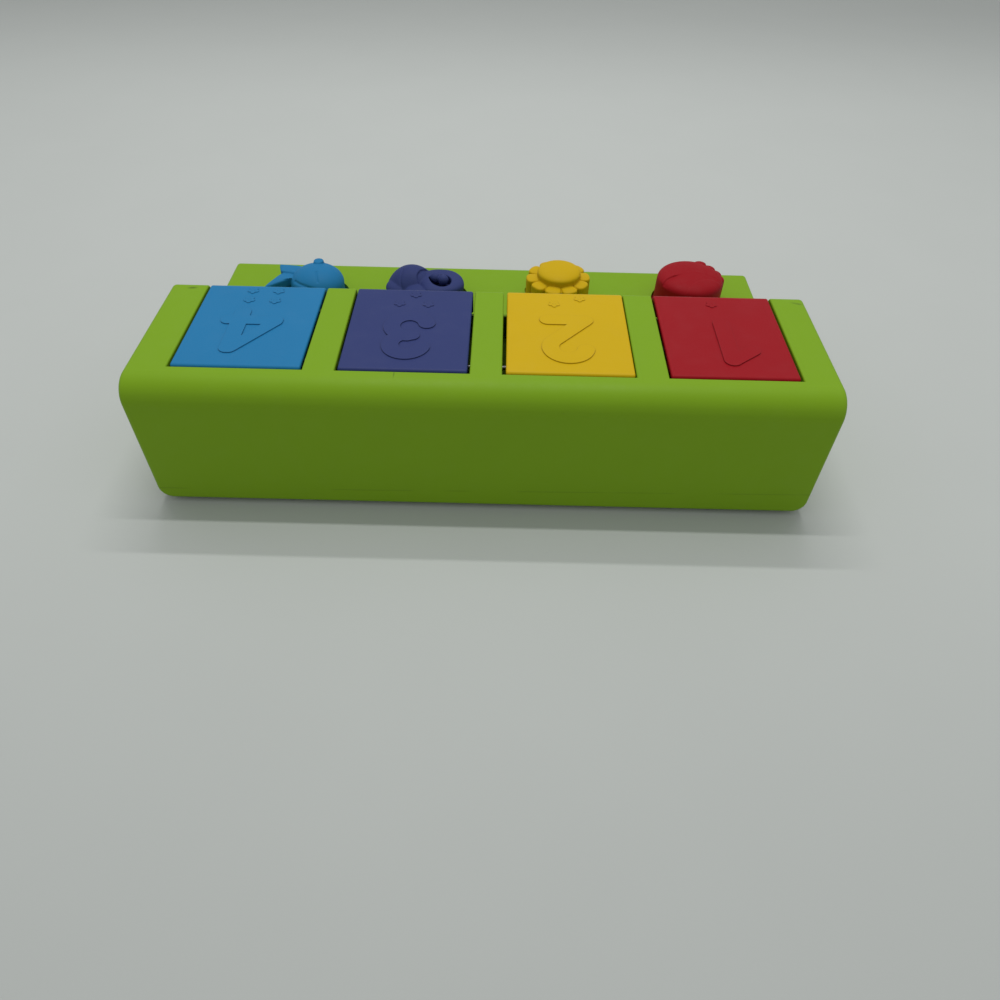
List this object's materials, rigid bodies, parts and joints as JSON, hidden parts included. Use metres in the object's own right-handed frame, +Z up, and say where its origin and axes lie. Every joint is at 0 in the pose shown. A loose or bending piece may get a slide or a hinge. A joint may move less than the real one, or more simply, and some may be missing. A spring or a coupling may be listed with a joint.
{
  "type": "pop up animal toy",
  "caption": "Two-level plastic pop up toy: flower and bird buttons on a low ledge free numbered hinged lids with animals behind them.",
  "frame": {"origin": "on the surface the toy stands on, under the middle of the housing", "axes": "+X along the row of lids to the child's right, +Y away from the child, +Z up"},
  "size_m": [0.3, 0.166, 0.0679],
  "materials": {
    "green_plastic": "satin moulded plastic, lime green",
    "green_plastic_inner": "matt moulded plastic, lime green",
    "red_plastic": "satin moulded plastic, red",
    "yellow_plastic": "satin moulded plastic, warm yellow",
    "purple_plastic": "satin moulded plastic, violet blue",
    "blue_plastic": "satin moulded plastic, sky blue",
    "chick_yellow": "satin moulded plastic, chick yellow with orange paint",
    "frog_green": "satin moulded plastic, leaf green with painted eyes",
    "bear_brown": "satin moulded plastic, brown with a light muzzle",
    "elephant_grey": "satin moulded plastic, blue grey",
    "white_acetal": "matt white acetal",
    "steel_pin": "drawn steel wire",
    "spring_steel": "bright spring wire",
    "zinc_steel": "zinc plated",
    "foot_rubber": "matt black rubber"
  },
  "bodies": {
    "body": {"housing": "green_plastic", "base_plate": "green_plastic_inner", "base_screws": "zinc_steel", "feet": "foot_rubber", "pocket_tray": "green_plastic_inner", "tray_screws": "zinc_steel", "hinge_pin_1": "steel_pin", "latch_pin_1": "steel_pin", "button_spring_1": "spring_steel", "latch_spring_1": "spring_steel", "hinge_pin_2": "steel_pin", "latch_pin_2": "steel_pin", "button_spring_2": "spring_steel", "latch_spring_2": "spring_steel", "hinge_pin_3": "steel_pin", "latch_pin_3": "steel_pin", "button_spring_3": "spring_steel", "latch_spring_3": "spring_steel", "hinge_pin_4": "steel_pin", "latch_pin_4": "steel_pin", "button_spring_4": "spring_steel", "latch_spring_4": "spring_steel"},
    "lid_1": {"lid_1": "red_plastic", "chick_1": "chick_yellow", "lid_spring_1": "spring_steel"},
    "button_1": {"button_1": "red_plastic"},
    "latch_1": {"latch_1": "white_acetal"},
    "lid_2": {"lid_2": "yellow_plastic", "frog_2": "frog_green", "lid_spring_2": "spring_steel"},
    "button_2": {"button_2": "yellow_plastic"},
    "latch_2": {"latch_2": "white_acetal"},
    "lid_3": {"lid_3": "purple_plastic", "bear_3": "bear_brown", "lid_spring_3": "spring_steel"},
    "button_3": {"button_3": "purple_plastic"},
    "latch_3": {"latch_3": "white_acetal"},
    "lid_4": {"lid_4": "blue_plastic", "elephant_4": "elephant_grey", "lid_spring_4": "spring_steel"},
    "button_4": {"button_4": "blue_plastic"},
    "latch_4": {"latch_4": "white_acetal"}
  },
  "joints": [
    {"name": "lid_1_hinge", "type": "hinge", "parent": "body", "child": "lid_1", "pos_m": [-0.10574, 0.0569, 0.0617], "axis": [-1, 0, 0], "range_deg": [0, 100], "deforming": ["lid_spring_1"]},
    {"name": "button_1_press", "type": "slide", "parent": "body", "child": "button_1", "axis": [0, 0, 1], "range_m": [-0.006, 0], "stiffness_N_per_m": 180, "springref_m": 0.004, "deforming": ["button_spring_1"]},
    {"name": "latch_1_pivot", "type": "hinge", "parent": "body", "child": "latch_1", "pos_m": [-0.08674, 0.00245, 0.014], "axis": [1, 0, 0], "range_deg": [0, 9.8], "deforming": ["latch_spring_1"]},
    {"name": "lid_2_hinge", "type": "hinge", "parent": "body", "child": "lid_2", "pos_m": [-0.03571, 0.0569, 0.0617], "axis": [-1, 0, 0], "range_deg": [0, 100], "deforming": ["lid_spring_2"]},
    {"name": "button_2_press", "type": "slide", "parent": "body", "child": "button_2", "axis": [0, 0, 1], "range_m": [-0.006, 0], "stiffness_N_per_m": 180, "springref_m": 0.004, "deforming": ["button_spring_2"]},
    {"name": "latch_2_pivot", "type": "hinge", "parent": "body", "child": "latch_2", "pos_m": [-0.01671, 0.00245, 0.014], "axis": [1, 0, 0], "range_deg": [0, 9.8], "deforming": ["latch_spring_2"]},
    {"name": "lid_3_hinge", "type": "hinge", "parent": "body", "child": "lid_3", "pos_m": [0.03431, 0.0569, 0.0617], "axis": [-1, 0, 0], "range_deg": [0, 100], "deforming": ["lid_spring_3"]},
    {"name": "button_3_press", "type": "slide", "parent": "body", "child": "button_3", "axis": [0, 0, 1], "range_m": [-0.006, 0], "stiffness_N_per_m": 180, "springref_m": 0.004, "deforming": ["button_spring_3"]},
    {"name": "latch_3_pivot", "type": "hinge", "parent": "body", "child": "latch_3", "pos_m": [0.05331, 0.00245, 0.014], "axis": [1, 0, 0], "range_deg": [0, 9.8], "deforming": ["latch_spring_3"]},
    {"name": "lid_4_hinge", "type": "hinge", "parent": "body", "child": "lid_4", "pos_m": [0.10434, 0.0569, 0.0617], "axis": [-1, 0, 0], "range_deg": [0, 100], "deforming": ["lid_spring_4"]},
    {"name": "button_4_press", "type": "slide", "parent": "body", "child": "button_4", "axis": [0, 0, 1], "range_m": [-0.006, 0], "stiffness_N_per_m": 180, "springref_m": 0.004, "deforming": ["button_spring_4"]},
    {"name": "latch_4_pivot", "type": "hinge", "parent": "body", "child": "latch_4", "pos_m": [0.12334, 0.00245, 0.014], "axis": [1, 0, 0], "range_deg": [0, 9.8], "deforming": ["latch_spring_4"]}
  ],
  "couplings": [
    {"joint": "latch_1_pivot", "follows": "button_1_press", "rad_per_m": -28.209},
    {"joint": "latch_2_pivot", "follows": "button_2_press", "rad_per_m": -28.209},
    {"joint": "latch_3_pivot", "follows": "button_3_press", "rad_per_m": -28.209},
    {"joint": "latch_4_pivot", "follows": "button_4_press", "rad_per_m": -28.209}
  ]
}
